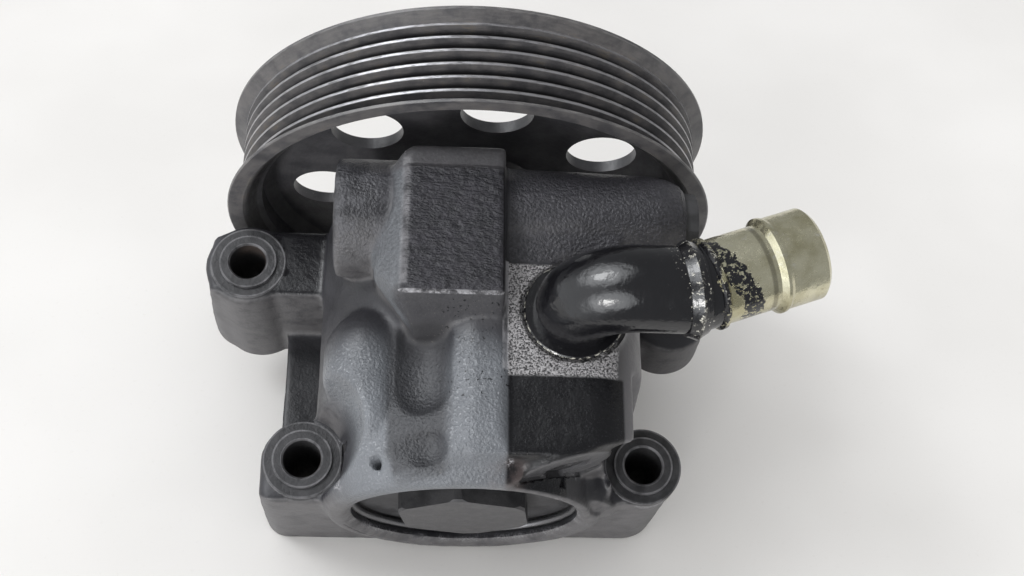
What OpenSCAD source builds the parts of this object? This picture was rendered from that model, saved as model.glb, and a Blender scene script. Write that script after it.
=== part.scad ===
// Vane type power steering pump with a ribbed belt pulley, all lengths in millimetres.
// X points right, Y runs along the shaft towards the pulley, Z points up from the mounting face.

/* [Mounting] */
// Height of the shaft axis above the mounting face
shaft_h = 35; // [32:0.5:45]
// Height of the three bolt bosses above the mounting face
boss_h = 40; // [34:0.5:48]
// Diameter of the bolt holes
bolt_d = 9; // [6:0.1:11]
// Diameter of the machined ring on top of each boss
spot_d = 14.5; // [13:0.1:16]
// Height of that ring above the lug it stands on
spot_rise = 1.2; // [0.6:0.1:3]
// Front bolt, distance to the left of the shaft axis
front_bolt_x = 56.7; // [54:0.1:64]
// Front bolt, distance ahead of the line of the rear bolts
front_bolt_y = 51.8; // [48:0.1:53]
// Rear left bolt, distance to the left of the shaft axis
rear_left_x = 39.6; // [39:0.1:46]
// Rear right bolt, distance to the right of the shaft axis
rear_right_x = 43.7; // [42:0.1:50]
// Outer diameter of the front boss
front_boss_d = 22; // [20:0.2:25]
// Outer diameter of the rear left boss
rear_left_d = 20.6; // [18.6:0.2:22]
// Outer diameter of the rear right boss
rear_right_d = 18.4; // [17.6:0.2:21]
// Distance of the plain front right foot from the shaft axis
foot_x = 56.5; // [52:0.5:62]
// Height of the plain front right foot
foot_h = 17; // [14:0.5:26]
// Thickness of the low plate that joins the feet
plate_t = 13; // [8:0.5:18]

/* [Housing] */
// Distance of the rear face behind the line of the rear bolts
rear_y = 13; // [12:0.5:18]
// Front end of the barrel, ahead of the rear bolts
body_front = 61.5; // [60:0.5:63]
// Outer radius of the barrel
barrel_r = 37; // [35:0.5:42]
// Outer radius of the rear rim
rim_r = 32.4; // [31:0.2:34]
// Radius of the seal nose that reaches into the pulley
nose_r = 21; // [18:0.5:25]
// Front end of the seal nose
nose_front = 70; // [66:0.5:72]
// Height of the suction pad above the shaft axis
pad_rise = 39; // [37:0.5:44]
// Half width of the barrel block under the suction pad
pad_x = 40.5; // [38:0.5:44]
// Rounding of the block's right edge
pad_round = 14; // [8:0.5:18]
// Height of the ridge left of the pad, above the shaft axis
ridge_rise = 40.5; // [39.5:0.5:45]
// Height of the valve block top above the shaft axis
block_rise = 48.2; // [45:0.2:52]
// Front end of the valve block
block_front = 64; // [60:0.5:65]
// Rear edge of the valve block top
block_rear = 27; // [20:0.5:34]
// Radius of the cheek on the left of the crown
cheek_r = 11.5; // [10:0.1:13]
// Cheek axis, left of the shaft axis
cheek_x = 23; // [21:0.1:25]
// Cheek axis above the shaft axis
cheek_rise = 22; // [20:0.1:23]
// Radius of the hollow between cheek and ridge
hollow_r = 8; // [6:0.1:9]
// Hollow axis, left of the shaft axis
hollow_x = 12.5; // [11:0.1:14]

/* [Pump pack] */
// Radius of the bore that takes the end cover
cover_bore_r = 27.5; // [26.5:0.1:28]
// Depth of that bore from the rear face
cover_bore_l = 12; // [11:0.5:14]
// Radius of the pack cavity
pack_r = 26; // [24:0.1:26.3]
// Width of the cam ring
cam_w = 12; // [8:0.5:13]
// Smallest inner radius of the cam ring
cam_minor = 15.6; // [14:0.1:16.5]
// Lift of the cam ring on either side
cam_lift = 1.2; // [0.5:0.1:2]
// Thickness of the pressure plate
plate_w = 5; // [4:0.5:6]
// Thickness of the thrust plate
thrust_w = 2; // [1.5:0.1:3]
// Number of vanes
vane_n = 10; // [8:2:12]
// Thickness of each vane
vane_t = 1.4; // [1:0.1:2]
// Diameter of the dowel pins
dowel_d = 3; // [2:0.1:4]
// Distance of the dowel pins from the shaft axis
dowel_pcr = 21; // [20:0.1:22.5]
// Width across the corners of the boss on the end cover
cover_hex = 35; // [24:0.5:36]
// Turn of that boss about the shaft axis
cover_turn = 37; // [0:1:60]
// Height of that boss
cover_boss_h = 5; // [2:0.1:5.6]
// Wire diameter of the retaining ring
ring_w = 2.2; // [1.6:0.1:2.6]

/* [Shaft and pulley] */
// Diameter of the shaft in its bush
shaft_d = 17; // [14:0.1:19]
// Diameter of the shaft in the rotor
spline_d = 12; // [10:0.1:13]
// Radial wall of the bush
bush_t = 2; // [1.5:0.1:3]
// Length of the bush
bush_l = 30; // [20:0.5:34]
// Outer diameter of the shaft seal
seal_d = 28; // [25:0.1:32]
// Length of the shaft seal
seal_l = 8; // [6:0.5:9]
// Outer diameter of the pulley flanges
pulley_d = 126.6; // [110:0.2:140]
// Rear flange of the pulley, ahead of the rear bolts
pulley_y = 66.5; // [66:0.1:68]
// Rim behind the first belt groove
groove_rear = 1.22; // [1:0.01:3]
// Rim ahead of the last belt groove
groove_front = 3.02; // [2:0.01:5]
// Number of belt grooves
groove_n = 6; // [4:1:6]
// Pitch of the belt grooves
groove_pitch = 3.56; // [3.4:0.01:3.7]
// Depth of the belt grooves
groove_h = 3; // [2:0.1:3.4]
// Height of the flanges above the ribs
flange_h = 3.1; // [1:0.1:5]
// Thickness of the rim below the grooves
rim_t = 2.4; // [1.5:0.1:4]
// Distance of the web behind the rear flange
web_in = 11.7; // [10:0.1:14]
// Thickness of the web
web_t = 3; // [2:0.1:5]
// Number of holes in the web
hole_n = 7; // [5:1:8]
// Diameter of the holes in the web
hole_d = 18; // [10:0.2:20]
// Distance of those holes from the shaft axis
hole_pcr = 38.6; // [34:0.2:41]
// Turn of the first of those holes above the right
hole_turn = 30.7; // [0:0.1:72]
// Diameter of the threaded hole in the shaft nose
nose_d = 8.5; // [5:0.1:10]
// Depth of that hole
nose_l = 17; // [10:0.5:30]
// Outer diameter of the pulley hub
hub_d = 29; // [25:0.5:36]

/* [Valve] */
// Height of the valve axis above the shaft axis
valve_rise = 31; // [30:0.5:34]
// Valve axis, ahead of the rear bolts
valve_y = 52.3; // [50:0.1:53]
// Outer radius of the port boss
port_r = 14.2; // [13:0.1:15]
// Face of the port boss, left of the shaft axis
port_x = 32.7; // [28:0.1:36]
// Outer radius of the valve barrel at its end
valve_r = 12.3; // [12:0.1:13.2]
// End of the valve barrel, right of the shaft axis
valve_end = 50.5; // [48:0.1:54]
// Diameter of the spool bore
spool_d = 16; // [12:0.1:17]
// Length of the spool
spool_l = 20; // [16:0.5:22]
// Travel of the spool
spool_travel = 6; // [3:0.5:8]
// Diameter of the threaded pressure port
port_d = 18; // [17.6:0.1:20]
// Depth of the port thread in front of the orifice fitting
port_l = 14; // [10:0.5:16]
// Wire diameter of the valve spring
spring_w = 1.6; // [1:0.1:2]

/* [Suction tube] */
// Outer diameter of the tube
tube_d = 19.4; // [17:0.1:20]
// Wall of the tube
tube_t = 1.3; // [0.8:0.1:2]
// Tube axis, right of the shaft axis
tube_x = 23.4; // [22:0.1:25]
// Tube axis, ahead of the rear bolts
tube_y = 26.5; // [24:0.1:28]
// Depth of the tube in the housing
tube_in = 12; // [8:0.5:13]
// Radius of the elbow
elbow_r = 12.8; // [11:0.1:18]
// Straight length from the elbow to the stop bead
tube_l1 = 11; // [10:0.5:18]
// Length from the stop bead to the end
tube_l2 = 29.4; // [22:0.2:40]
// Turn of the end towards the pulley
tube_turn = 19.8; // [10:0.1:20]
// Outer diameter of the stop bead
bead_d = 22.4; // [21:0.1:24]
// Width of the stop bead
bead_w = 4.6; // [4.2:0.1:6]
// Length of the swollen hose end
swell_l = 10.5; // [6:0.5:12]
// Outer diameter of the hose end
swell_d = 21.2; // [20.8:0.1:23]
// Distance of the second rolled ridge from the stop bead
ridge_at = 4.6; // [4.4:0.1:6]

/* [Core plug] */
// Diameter of the core plug
core_d = 10; // [6:0.2:11]
// Diameter of the spot face round it
core_face_d = 23; // [16:0.5:24]
// Plug centre, right of the shaft axis
core_x = 22; // [20.5:0.1:24]
// Plug centre above the shaft axis
core_rise = 27; // [26:0.1:29]
// Plug centre, ahead of the rear face
core_in = 5.9; // [5:0.1:8]
// Turn of the plug towards the right
core_turn = 16; // [5:1:20]

/* [Hidden] */
clear = 0.03;
run = 0.05;
gap = 0.3;
eps = 0.02;
big = 300;
fine = 96;
spin_fn = 144;
lug_h = boss_h - spot_rise;
boss_low = lug_h - 1.2;
pad_z = shaft_h + pad_rise;
ridge_z = shaft_h + ridge_rise;
block_z = shaft_h + block_rise;
cheek_z = shaft_h + cheek_rise;
cheek_y0 = 6;
cheek_y1 = 20;
hollow_z = ridge_z - 1.5;
bolt_room_h = 30;
valve_z = shaft_h + valve_rise;
// Pack positions along the shaft, from the rear face to the front
cover_back = -rear_y + 0.2 + cover_boss_h;
ring_y0 = cover_back - ring_w - clear;
cover_front = cover_bore_l - rear_y - gap;
pack_y0 = cover_bore_l - rear_y + 2;
cam_y0 = pack_y0 + plate_w;
cam_y1 = cam_y0 + cam_w;
pack_y1 = cam_y1 + thrust_w;
rotor_r = cam_minor - 0.4;
shaft_r = shaft_d / 2;
spline_r = spline_d / 2;
bush_r = shaft_r + run + bush_t;
seal_y1 = nose_front - 2.5;
seal_y0 = seal_y1 - seal_l;
bush_y1 = seal_y0 - 1.5;
bush_y0 = bush_y1 - bush_l;
flange_r = pulley_d / 2;
rib_r = flange_r - flange_h;
rim_in = rib_r - groove_h - rim_t;
groove_y0 = pulley_y + groove_rear;
pulley_w = groove_rear + groove_n * groove_pitch + groove_front;
weld = 3;
web_y = pulley_y + web_in;
hub_y0 = nose_front + 1.5;
hub_y1 = pulley_y + pulley_w - 2;
// Valve positions along its axis
port_bottom = -port_x + port_l;
fit_l = 8;
fit_r = port_d / 2 - 0.4;
spool_x0 = port_bottom + fit_l + gap;
spool_x1 = spool_x0 + spool_l;
plug_in = 9;
plug_r = spool_d / 2 + 1;
plug_x0 = valve_end - plug_in;
spring_x0 = spool_x1 - 5;
stem_r = spool_d / 2 - 4.2 - spring_w;
// Tube points
tube_r = tube_d / 2;
tube_z0 = pad_z + 1.4;
bead_p = [tube_x + elbow_r + tube_l1, tube_y, tube_z0 + elbow_r];
core_r = core_d / 2;
core_p = [core_x, core_in - rear_y, shaft_h + core_rise];
// Plate spring, dowel seats and ring seats
disc_r0 = spline_r + 4;
disc_r1 = disc_r0 + 7;
disc_t = 1.15;
dowel_in = 5;
oring_w = 2.2;
oring_in = 2.9;

// Cylinder along Y between two stations
module y_cyl(r, y0, y1, x = 0, z = shaft_h, n = fine) {
  translate([x, y0, z])
    rotate([-90, 0, 0])
      cylinder(r = r, h = y1 - y0, $fn = n);
}

// Cylinder along X between two stations on the valve axis
module x_cyl(r, x0, x1, n = fine) {
  translate([x0, valve_y, valve_z])
    rotate([0, 90, 0])
      cylinder(r = r, h = x1 - x0, $fn = n);
}

// Turned solid on the shaft axis, its profile drawn as radius and station
module y_turn(n = spin_fn) {
  translate([0, 0, shaft_h])
    rotate([-90, 0, 0])
      rotate_extrude($fn = n)
        children();
}

// Turned solid on the valve axis
module x_turn(n = fine) {
  translate([0, valve_y, valve_z])
    rotate([0, 90, 0])
      rotate_extrude($fn = n)
        children();
}

// Prism along Y from a profile in X and Z
module xz_prism(y0, y1) {
  translate([0, y1, 0])
    rotate([90, 0, 0])
      linear_extrude(height = y1 - y0)
        children();
}

// Prism along X from a profile in Y and Z
module yz_prism(x0, x1) {
  translate([x0, 0, 0])
    rotate([90, 0, 90])
      linear_extrude(height = x1 - x0)
        children();
}

// Ring of round wire on the shaft axis
module y_wire(r, w, y) {
  y_turn()
    translate([r, y])
      circle(d = w, $fn = 24);
}

// Column with its bolt boss on top
module boss(x, y, d) {
  translate([x, y, 0])
    cylinder(d = d, h = boss_low, $fn = fine);
  translate([x, y, boss_low - eps])
    cylinder(d1 = d, d2 = d - 2.4, h = lug_h - boss_low + eps, $fn = fine);
  translate([x, y, lug_h - eps])
    cylinder(d = spot_d, h = spot_rise + eps, $fn = fine);
}

// Through hole of a boss, chamfered at the top
module boss_hole(x, y) {
  translate([x, y, -1])
    cylinder(d = bolt_d, h = boss_h + 2, $fn = fine);
  translate([x, y, boss_h - 0.6])
    cylinder(d1 = bolt_d, d2 = bolt_d + 2.4, h = 1.2, $fn = fine);
}

// Barrel that holds the pump pack, with the seal nose at its front
module barrel() {
  y_turn()
    polygon([[0, -rear_y], [rim_r, -rear_y], [rim_r + 0.8, -rear_y + 0.8], [barrel_r, -rear_y + 7],
      [barrel_r, body_front], [nose_r + 2, body_front], [nose_r, body_front + 2],
      [nose_r, nose_front - 1], [nose_r - 1, nose_front], [0, nose_front]]);
}

// Low plate between the feet
module foot_plate() {
  linear_extrude(height = plate_t)
    polygon([[-rear_left_x - 8.4, 4], [-rear_left_x - 8.4, 46], [-barrel_r, body_front],
      [barrel_r, body_front], [rear_right_x + 2.4, 44], [rear_right_x + 2.4, 4],
      [rim_r - 4, -9], [-rim_r + 4, -9]]);
}

// Front left lug: a drafted bar from the boss into the barrel
module front_lug() {
  intersection() {
    xz_prism(front_bolt_y - 8.6, front_bolt_y + 9.6)
      polygon([[-front_bolt_x - 13.2, 0], [-front_bolt_x - 9.6, lug_h - 1.2], [-front_bolt_x - 8.4, lug_h],
        [-18, lug_h], [-18, 0]]);
    union() {
      translate([-front_bolt_x - 4.8, front_bolt_y, 0])
        cylinder(r = 8.6, h = boss_h, $fn = fine);
      translate([-front_bolt_x - 4.8, front_bolt_y - 8.6, 0])
        cube([front_bolt_x, 18.2, boss_h]);
    }
  }
}

// Rear left foot: flat rear wall behind the boss
module rear_left_foot() {
  yl = rear_left_d / 2;
  intersection() {
    xz_prism(-yl, yl)
      polygon([[-rear_left_x - 12, 0], [-rear_left_x - 10.2, lug_h - 1.6],
        [-rear_left_x - 8.6, lug_h - 0.4],
        [-18, lug_h - 0.4], [-18, 0]]);
    union() {
      translate([-rear_left_x - 6, -yl + 6, 0])
        cylinder(r = 6, h = boss_h, $fn = fine);
      translate([-rear_left_x - 12, -yl + 6, 0])
        cube([14, yl - 4, boss_h]);
      translate([-rear_left_x - 6, -yl, 0])
        cube([rear_left_x - 8, yl + 2, boss_h]);
    }
  }
}

// Rear right foot, narrower below its boss
module rear_right_foot() {
  yr = rear_right_d / 2;
  intersection() {
    xz_prism(-yr, 4)
      polygon([[18, 0], [18, lug_h - 0.4], [rear_right_x + 6, lug_h - 0.4], [rear_right_x + 7.4, lug_h - 2],
        [rear_right_x + 5.2, 0]]);
    union() {
      translate([rear_right_x - 1, -yr + 8, 0])
        cylinder(r = 8, h = boss_h, $fn = fine);
      translate([18, -yr, 0])
        cube([rear_right_x - 19, yr + 4, boss_h]);
      translate([rear_right_x - 2, -yr + 8, 0])
        cube([11, yr - 4, boss_h]);
    }
  }
}

// Plain foot below the suction tube
module plain_foot() {
  translate([foot_x, front_bolt_y - 2.4, 0])
    cylinder(d1 = front_boss_d + 0.6, d2 = front_boss_d - 1, h = foot_h, $fn = fine);
  translate([18, front_bolt_y - 11, 0])
    cube([foot_x - 18, 18, foot_h - 2]);
}

// Block under the suction pad, with its rounded right edge
module pad_block() {
  corner = pad_x - 3;
  intersection() {
    xz_prism(-rear_y, valve_y - 8)
      difference() {
        square([pad_x, pad_z]);
        difference() {
          translate([pad_x - pad_round, pad_z - pad_round])
            square(pad_round + 1);
          translate([pad_x - pad_round, pad_z - pad_round])
            circle(r = pad_round, $fn = fine);
        }
      }
    // rear wall, square behind the ridge and turned with the core plug on the right
    linear_extrude(height = pad_z)
      polygon([[0, core_p[1] - 0.5], [core_x - 1.7, core_p[1] - 0.5], [corner, core_wall(corner)],
        [pad_x, core_wall(corner) + 4], [pad_x, valve_y - 8], [0, valve_y - 8]]);
  }
}

// Station of the wall that carries the core plug
function core_wall(x) = core_p[1] + (x - core_x) * tan(core_turn);

// Fillet between the valve barrel and the suction pad, cut back round the tube
module valve_fillet() {
  difference() {
    yz_prism(0, pad_x - 6)
      polygon([[valve_y - 16, pad_z - 2], [valve_y - 15, pad_z], [valve_y - 8, valve_z + valve_r - 2],
        [valve_y - 4, valve_z]]);
    translate([tube_x, tube_y, pad_z])
      cylinder(r = tube_r + 4.2, h = 20, $fn = fine);
  }
}

// Cheek over the oil gallery, left of the crown
module cheek() {
  y_cyl(cheek_r, cheek_y0, cheek_y1, -cheek_x, cheek_z);
  for (y = [cheek_y0, cheek_y1])
    translate([-cheek_x, y, cheek_z])
      sphere(r = cheek_r, $fn = 64);
}

// Hollows of the casting between cheek and ridge, parted by a low bar
module crown_hollows() {
  y_cyl(hollow_r, 9, 21, -hollow_x, hollow_z);
  for (y = [9, 21])
    translate([-hollow_x, y, hollow_z])
      sphere(r = hollow_r, $fn = 48);
  translate([-hollow_x - 5, -6, hollow_z - 1.5])
    rotate([0, 90, 0])
      cylinder(r = hollow_r - 3, h = 7.5, $fn = 48);
  for (x = [-5, 2.5])
    translate([x - hollow_x, -6, hollow_z - 1.5])
      sphere(r = hollow_r - 3, $fn = 48);
}

// Room for a bolt head beside the barrel
module bolt_room(x, d) {
  translate([x, 0, lug_h - 0.4])
    cylinder(d1 = d, d2 = d + 0.4 * bolt_room_h, h = bolt_room_h, $fn = fine);
}

// Ridge on the crown of the barrel, falling away at the rear
module ridge() {
  intersection() {
    xz_prism(-rear_y + 1, block_rear + 6)
      polygon([[-17, shaft_h], [-17, ridge_z - 9], [-8, ridge_z - 4], [-1, ridge_z - 0.5], [0.6, ridge_z],
        [7.2, ridge_z], [7.2, shaft_h]]);
    yz_prism(-20, 10)
      polygon([[-rear_y + 1, shaft_h], [-rear_y + 1, shaft_h + rim_r - 1], [-rear_y + 5, ridge_z - 3.4],
        [-rear_y + 9, ridge_z], [block_rear + 6, ridge_z], [block_rear + 6, shaft_h]]);
  }
}

// Valve block: chamfered on the left, falling to the ridge at the rear
module valve_block() {
  intersection() {
    xz_prism(block_rear - 6, block_front)
      polygon([[-23, shaft_h + 8], [-23, block_z - 9], [-21.4, block_z - 6], [-16.8, block_z - 0.8],
        [-15.6, block_z], [7, block_z], [7, shaft_h + 8]]);
    yz_prism(-24, 8)
      polygon([[block_rear - 6, shaft_h + 8], [block_rear - 6, ridge_z - 6], [block_rear, block_z - 0.5],
        [block_rear + 0.5, block_z], [block_front - 1, block_z], [block_front, block_z - 1],
        [block_front, shaft_h + 8]]);
    // corners cut off on the left
    linear_extrude(height = block_z)
      polygon([[-24, block_rear + 9], [-13, block_rear - 6], [8, block_rear - 6], [8, block_front],
        [-14.5, block_front], [-24, block_front - 8]]);
  }
}

// Port boss on the left and drafted valve barrel on the right, both on the valve axis
module valve_barrel() {
  x_turn()
    polygon([[0, -port_x], [port_r - 0.8, -port_x], [port_r, -port_x + 0.8], [port_r, 0],
      [valve_r + 1, 0], [valve_r, valve_end - 7], [valve_r - 0.5, valve_end - 4.2],
      [valve_r - 1.6, valve_end - 1.8], [valve_r - 3.2, valve_end], [0, valve_end]]);
}

// Web that carries the valve barrel on the front of the body
module valve_web() {
  yz_prism(-27, pad_x - 3)
    polygon([[valve_y - 11, plate_t], [valve_y - 11, valve_z], [valve_y + 8, valve_z],
      [body_front - 1, shaft_h + 14], [body_front - 1, plate_t]]);
}

// Seat and angled drilling of the core plug
module at_core() {
  translate(core_p)
    rotate([0, 0, core_turn])
      rotate([94, 0, 0])
        children();
}

module housing() {
  color([0.16, 0.16, 0.18])
    difference() {
      union() {
        difference() {
          union() {
            barrel();
            ridge();
            cheek();
            pad_block();
          }
          crown_hollows();
          bolt_room(-rear_left_x, rear_left_d);
          bolt_room(rear_right_x, rear_right_d);
        }
        foot_plate();
        front_lug();
        rear_left_foot();
        rear_right_foot();
        plain_foot();
        valve_block();
        valve_barrel();
        valve_fillet();
        valve_web();
        boss(-front_bolt_x, front_bolt_y, front_boss_d);
        boss(-rear_left_x, 0, rear_left_d);
        boss(rear_right_x, 0, rear_right_d);
        at_core()
          translate([0, 0, -9])
            cylinder(d = core_face_d, h = 9, $fn = fine);
      }
      // mounting face
      translate([-big / 2, -big / 2, -big])
        cube(big);
      boss_hole(-front_bolt_x, front_bolt_y);
      boss_hole(-rear_left_x, 0);
      boss_hole(rear_right_x, 0);
      // end cover bore, its mouth and the groove of the retaining ring
      y_turn()
        polygon([[0, -rear_y - 1], [cover_bore_r + 3.4, -rear_y - 1], [cover_bore_r, -rear_y + 1.4],
          [cover_bore_r, ring_y0 - clear], [cover_bore_r + 1.2, ring_y0 - clear],
          [cover_bore_r + 1.2, ring_y0 + ring_w + clear], [cover_bore_r, ring_y0 + ring_w + clear],
          [cover_bore_r, cover_bore_l - rear_y], [pack_r, cover_bore_l - rear_y], [pack_r, pack_y1],
          [0, pack_y1]]);
      for (a = [0, 180])
        dowel(a, pack_y1 - 1, pack_y1 + dowel_in + clear, dowel_d / 2 + clear);
      // shaft passage, bush seat and seal seat
      y_cyl(shaft_r + 1, pack_y1 - 1, seal_y0);
      y_cyl(bush_r, bush_y0, bush_y1);
      y_cyl(seal_d / 2, seal_y0, nose_front + 1);
      // valve bore, port thread and plug thread
      x_cyl(spool_d / 2, -port_x - 1, valve_end + 1);
      x_cyl(port_d / 2, -port_x - 1, port_bottom);
      x_cyl(fit_r, port_bottom - 1, port_bottom + fit_l);
      x_cyl(plug_r, plug_x0, valve_end + 1);
      translate([-port_x - eps, valve_y, valve_z])
        rotate([0, 90, 0])
          cylinder(r1 = port_d / 2 + 1.2, r2 = port_d / 2, h = 1.2, $fn = fine);
      // suction bore and the seat of its ring
      translate([tube_x, tube_y, pad_z - tube_in])
        cylinder(r = tube_r, h = tube_in + 20, $fn = fine);
      translate([tube_x, tube_y, pad_z - 4.6])
        cylinder(r = tube_r + 1.5, h = 2.2, $fn = fine);
      translate([tube_x, tube_y, pad_z - 0.4])
        cylinder(r = tube_r + 2.6, h = 20, $fn = fine);
      // core plug seat and the spot face beside the rear rim
      at_core()
        translate([0, 0, -4])
          cylinder(r = core_r, h = 5, $fn = fine);
      difference() {
        at_core()
          cylinder(d = core_face_d, h = 9, $fn = fine);
        y_cyl(cover_bore_r + 3.4, -rear_y - 9, rear_y);
      }
      // shoulder beside the recess, cut back almost to the wall of the core plug
      difference() {
        at_core()
          translate([-core_face_d / 2 - 2, -core_face_d, 0.8])
            cube([core_face_d + 2.5, 2 * core_face_d, 12]);
        y_cyl(cover_bore_r + 3.4, -rear_y - 9, rear_y);
      }
      // access hole of the retaining ring
      translate([-17.4, ring_y0 + ring_w / 2, shaft_h + 22.9])
        rotate([-14, -30, 0])
          cylinder(d = 2.6, h = 16, $fn = 32);
    }
}

module dowel(a, y0, y1, r) {
  y_cyl(r, y0, y1, dowel_pcr * cos(a), shaft_h + dowel_pcr * sin(a), 32);
}

module front_bushing() {
  color([0.72, 0.55, 0.3])
    difference() {
      y_cyl(bush_r - clear, bush_y0, bush_y1);
      y_cyl(shaft_r + run, bush_y0 - 1, bush_y1 + 1);
    }
}

module shaft_seal() {
  color([0.12, 0.12, 0.13])
    y_turn()
      polygon([[shaft_r + run, seal_y0 + 2.2], [shaft_r + 1.6, seal_y0 + gap],
        [shaft_r + 2.4, seal_y0 + gap],
        [shaft_r + 2.4, seal_y0 + 4], [seal_d / 2 - 1.6, seal_y0 + 4], [seal_d / 2 - 1.6, seal_y0 + gap],
        [seal_d / 2 - clear, seal_y0 + gap], [seal_d / 2 - clear, seal_y1], [shaft_r + 2, seal_y1],
        [shaft_r + 1, seal_y1 - 1.6], [shaft_r + run, seal_y0 + 3.4]]);
}

module drive_shaft() {
  color([0.7, 0.7, 0.72])
    difference() {
      union() {
        y_cyl(spline_r, cam_y0 - 3, pack_y1 + 2);
        y_cyl(shaft_r, pack_y1 + 1, hub_y1 + 1);
      }
      y_turn()
        translate([spline_r - 0.9, cam_y0 - 1.5])
          square([2, 1.2]);
      // threaded hole for the pulley tool
      y_cyl(nose_d / 2, hub_y1 + 1 - nose_l, hub_y1 + 2, n = 48);
      y_turn(48)
        polygon([[0, hub_y1], [nose_d / 2, hub_y1], [nose_d / 2 + 1.2, hub_y1 + 1.2], [0, hub_y1 + 1.2]]);
    }
}

// Section of one belt groove, drawn as radius and station
module groove(k) {
  y = groove_y0 + k * groove_pitch;
  polygon([[rib_r + 1, y + 0.1], [rib_r, y + 0.4], [rib_r - groove_h, y + groove_pitch / 2 - 0.25],
    [rib_r - groove_h, y + groove_pitch / 2 + 0.25], [rib_r, y + groove_pitch - 0.4],
    [rib_r + 1, y + groove_pitch - 0.1]]);
}

module pulley_rim() {
  py1 = pulley_y + pulley_w;
  gy1 = groove_y0 + groove_n * groove_pitch;
  color([0.1, 0.1, 0.11])
    y_turn()
      difference() {
        polygon([[rim_in, pulley_y + 4.5], [rib_r - 1.4, pulley_y + 0.4], [rib_r - 0.8, pulley_y],
          [flange_r - 0.3, pulley_y], [flange_r, pulley_y + 0.3], [flange_r, pulley_y + 0.6],
          [rib_r, groove_y0 - 0.2], [rib_r, gy1 + 0.3], [flange_r, py1 - 1], [flange_r, py1 - 0.3],
          [flange_r - 0.3, py1], [rib_r - 2, py1], [rim_in, py1 - 2]]);
        for (k = [0 : groove_n - 1])
          groove(k);
      }
}

// Pressed disc, welded to the rim and to the hub
module pulley_web() {
  color([0.1, 0.1, 0.11])
    difference() {
      y_turn()
        polygon([[hub_d / 2, web_y - weld], [hub_d / 2 + weld, web_y], [rim_in - weld, web_y],
          [rim_in, web_y - weld], [rim_in, web_y + web_t + weld], [rim_in - weld, web_y + web_t],
          [hub_d / 2 + weld, web_y + web_t], [hub_d / 2, web_y + web_t + weld]]);
      for (k = [0 : hole_n - 1])
        y_cyl(hole_d / 2, web_y - 5, web_y + web_t + 5, hole_pcr * cos(hole_turn + k * 360 / hole_n),
          shaft_h + hole_pcr * sin(hole_turn + k * 360 / hole_n), 48);
    }
}

module pulley_hub() {
  color([0.1, 0.1, 0.11])
    y_turn()
      polygon([[shaft_r, hub_y0], [hub_d / 2, hub_y0], [hub_d / 2, hub_y1 - 1], [hub_d / 2 - 1, hub_y1],
        [shaft_r, hub_y1]]);
}

module rotor() {
  color([0.62, 0.62, 0.64])
    difference() {
      y_cyl(rotor_r, cam_y0 + gap, cam_y1 - gap);
      y_cyl(spline_r + clear, cam_y0 - 1, cam_y1 + 1);
      for (k = [0 : vane_n - 1])
        translate([0, 0, shaft_h])
          rotate([0, k * 360 / vane_n, 0])
            translate([-vane_t / 2 - clear, cam_y0 - 1, spline_r + 3.2])
              cube([vane_t + 2 * clear, cam_w + 2, rotor_r]);
    }
}

module vanes() {
  color([0.75, 0.75, 0.76])
    for (k = [0 : vane_n - 1])
      translate([0, 0, shaft_h])
        rotate([0, k * 360 / vane_n, 0])
          translate([-vane_t / 2, cam_y0 + gap, spline_r + 3.2 + clear])
            cube([vane_t, cam_w - 2 * gap, rotor_r - spline_r - 3.2]);
}

module rotor_ring() {
  color([0.55, 0.55, 0.56])
    difference() {
      y_cyl(spline_r + 1.2, cam_y0 - 1.5 + clear, cam_y0 - 0.3 - clear, n = 48);
      y_cyl(spline_r - 0.8, cam_y0 - 3, cam_y0 + 1, n = 48);
      translate([-1.5, cam_y0 - 3, shaft_h - 20])
        cube([3, 5, 20]);
    }
}

module thrust_plate() {
  color([0.66, 0.66, 0.68])
    difference() {
      y_cyl(pack_r - clear, cam_y1, pack_y1);
      y_cyl(shaft_r + 1, cam_y1 - 1, pack_y1 + 1);
      for (a = [0, 180])
        dowel(a, cam_y1 - 1, pack_y1 + 1, dowel_d / 2 + clear);
    }
}

module cam_ring() {
  color([0.5, 0.5, 0.52])
    difference() {
      y_cyl(pack_r - clear, cam_y0, cam_y1);
      for (s = [-1, 1])
        y_cyl(cam_minor, cam_y0 - 1, cam_y1 + 1, s * cam_lift);
      for (a = [0, 180])
        dowel(a, cam_y0 - 1, cam_y1 + 1, dowel_d / 2 + clear);
    }
}

module pressure_plate() {
  color([0.66, 0.66, 0.68])
    difference() {
      y_cyl(pack_r - clear, pack_y0, cam_y0);
      y_cyl(spline_r + 2, pack_y0 - 1, cam_y0 + 1);
      for (a = [0, 180])
        dowel(a, pack_y0 + 1, cam_y0 + 1, dowel_d / 2 + clear);
      for (a = [90, 270])
        y_cyl(2.4, pack_y0 - 1, cam_y0 + 1, cam_minor * 0.9 * cos(a),
          shaft_h + cam_minor * 0.9 * sin(a), 32);
    }
}

module dowel_pins() {
  color([0.78, 0.78, 0.8])
    for (a = [0, 180])
      dowel(a, pack_y0 + 1 + clear, pack_y1 + dowel_in, dowel_d / 2);
}

module plate_spring() {
  color([0.4, 0.4, 0.42])
    y_turn(72)
      polygon([[disc_r0, pack_y0 - disc_t], [disc_r1, cover_front + clear], [disc_r1, cover_front + disc_t],
        [disc_r0, pack_y0 - clear]]);
}

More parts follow.
